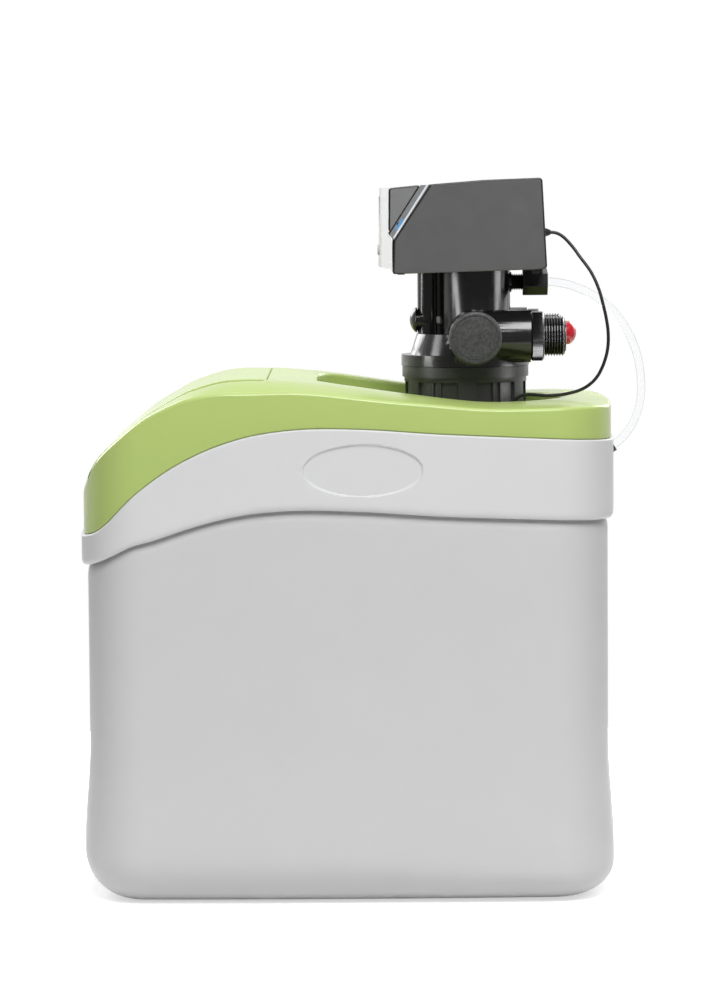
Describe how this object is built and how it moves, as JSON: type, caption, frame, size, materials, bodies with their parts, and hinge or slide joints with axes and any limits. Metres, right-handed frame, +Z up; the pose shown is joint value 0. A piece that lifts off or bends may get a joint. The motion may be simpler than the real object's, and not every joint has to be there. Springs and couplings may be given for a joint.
{
  "type": "cabinet water softener",
  "caption": "Cabinet water softener: flared brine tank, overhanging collar, sloping cover with hinged salt lid, and a valve with control head and threaded pipe ports behind it.",
  "frame": {"origin": "on the floor under the middle of the cabinet", "axes": "+Z up, -Y the front with the salt lid, +Y the back with the pipe ports, +X the side with the outlet"},
  "size_m": [0.29, 0.4768, 0.594],
  "materials": {
    "tank_grey": "fine moulded grain",
    "collar_grey": "satin moulded",
    "cover_green": "satin moulded",
    "lid_green": "satin moulded",
    "steel": "drawn",
    "vessel_blue": "wound glass fibre",
    "black_plastic": "satin moulded",
    "natural_plastic": "moulded",
    "resin": "small beads",
    "rubber_black": "moulded",
    "red_plastic": "moulded",
    "head_grey": "fine grain",
    "cheek_grey": "fine grain",
    "band_grey": "frosted",
    "lamp_blue": "clear lens",
    "bezel_white": "moulded",
    "window_dark": "polished",
    "display_grey": "flat",
    "board_green": "solder resist",
    "button_grey": "soft touch",
    "motor_metal": "zinc plated",
    "gear_cream": "moulded",
    "pinion_brass": "cut",
    "tube_clear": "clear soft tube",
    "lead_black": "extruded",
    "well_white": "moulded"
  },
  "bodies": {
    "cabinet": {"brine_tank": "tank_grey", "upper_collar": "collar_grey", "top_cover": "cover_green", "hinge_pins": "steel", "resin_vessel": "vessel_blue", "vessel_foot": "black_plastic", "riser_tube": "natural_plastic", "bottom_basket": "natural_plastic", "top_basket": "natural_plastic", "resin_bed": "resin", "neck_ring": "black_plastic", "neck_o_ring": "rubber_black", "valve_body": "black_plastic", "side_cap_near": "black_plastic", "side_cap_far": "black_plastic", "side_cap_o_rings": "rubber_black", "injector_plug": "black_plastic", "injector_nozzle": "natural_plastic", "seal_cage": "natural_plastic", "seal_rings": "rubber_black", "bonnet": "black_plastic", "outlet_adaptor": "black_plastic", "inlet_adaptor": "black_plastic", "adaptor_o_rings": "rubber_black", "brine_fitting": "black_plastic", "brine_nut": "black_plastic", "drain_tail": "black_plastic", "head_base": "black_plastic", "head_housing": "head_grey", "front_fascia": "cheek_grey", "light_band": "band_grey", "status_lamp": "lamp_blue", "front_bezel": "bezel_white", "display_window": "window_dark", "display_module": "display_grey", "circuit_board": "board_green", "head_screws": "steel", "drive_motor": "motor_metal", "strain_relief": "rubber_black", "control_lead": "lead_black", "lead_grommet": "rubber_black", "tube_bush": "rubber_black", "brine_tube": "tube_clear", "brine_well": "well_white", "float_valve": "well_white"},
    "lid": {"salt_lid": "lid_green"},
    "piston_rod": {"piston": "natural_plastic"},
    "gear": {"drive_gear": "gear_cream"},
    "pinion": {"motor_pinion": "pinion_brass"},
    "turbine": {"flow_turbine": "natural_plastic"},
    "plug_out": {"outlet_plug": "black_plastic"},
    "plug_in": {"inlet_plug": "red_plastic"},
    "key_1": {"button_1": "button_grey"},
    "key_2": {"button_2": "button_grey"},
    "key_3": {"button_3": "button_grey"},
    "key_4": {"button_4": "button_grey"},
    "float_ring": {"float": "well_white"},
    "well_cap": {"brine_well_cap": "well_white"}
  },
  "joints": [
    {"name": "lid_hinge", "type": "hinge", "parent": "cabinet", "child": "lid", "pos_m": [0, -0.0685, 0.42799], "axis": [-1, 0, 0], "range_deg": [0, 95]},
    {"name": "gear_turn", "type": "hinge", "parent": "cabinet", "child": "gear", "pos_m": [0, 0.1086, 0.529], "axis": [0, 0, 1], "range_deg": [0, 1080]},
    {"name": "pinion_turn", "type": "hinge", "parent": "cabinet", "child": "pinion", "pos_m": [-0.03612, 0.1086, 0.529], "axis": [0, 0, 1], "range_deg": [-5400, 0]},
    {"name": "piston_lift", "type": "slide", "parent": "cabinet", "child": "piston_rod", "axis": [0, 0, 1], "range_m": [0, 0.024]},
    {"name": "turbine_spin", "type": "hinge", "parent": "cabinet", "child": "turbine", "pos_m": [0.035, 0.148, 0.462], "axis": [0, 1, 0], "continuous": true},
    {"name": "outlet_plug_pull", "type": "slide", "parent": "cabinet", "child": "plug_out", "axis": [0, 1, 0], "range_m": [0, 0.03]},
    {"name": "inlet_plug_pull", "type": "slide", "parent": "cabinet", "child": "plug_in", "axis": [0, 1, 0], "range_m": [0, 0.03]},
    {"name": "button_1_press", "type": "slide", "parent": "cabinet", "child": "key_1", "axis": [0, 1, 0], "range_m": [0, 0.001], "stiffness_N_per_m": 400},
    {"name": "button_2_press", "type": "slide", "parent": "cabinet", "child": "key_2", "axis": [0, 1, 0], "range_m": [0, 0.001], "stiffness_N_per_m": 400},
    {"name": "button_3_press", "type": "slide", "parent": "cabinet", "child": "key_3", "axis": [0, 1, 0], "range_m": [0, 0.001], "stiffness_N_per_m": 400},
    {"name": "button_4_press", "type": "slide", "parent": "cabinet", "child": "key_4", "axis": [0, 1, 0], "range_m": [0, 0.001], "stiffness_N_per_m": 400},
    {"name": "float_rise", "type": "slide", "parent": "cabinet", "child": "float_ring", "axis": [0, 0, 1], "range_m": [0, 0.04]},
    {"name": "well_cap_lift", "type": "slide", "parent": "cabinet", "child": "well_cap", "axis": [0, 0, 1], "range_m": [0, 0.012]}
  ],
  "couplings": [
    {"joint": "pinion_turn", "follows": "gear_turn", "ratio": -5},
    {"joint": "piston_lift", "follows": "gear_turn", "m_per_rad": 0.0012732}
  ]
}
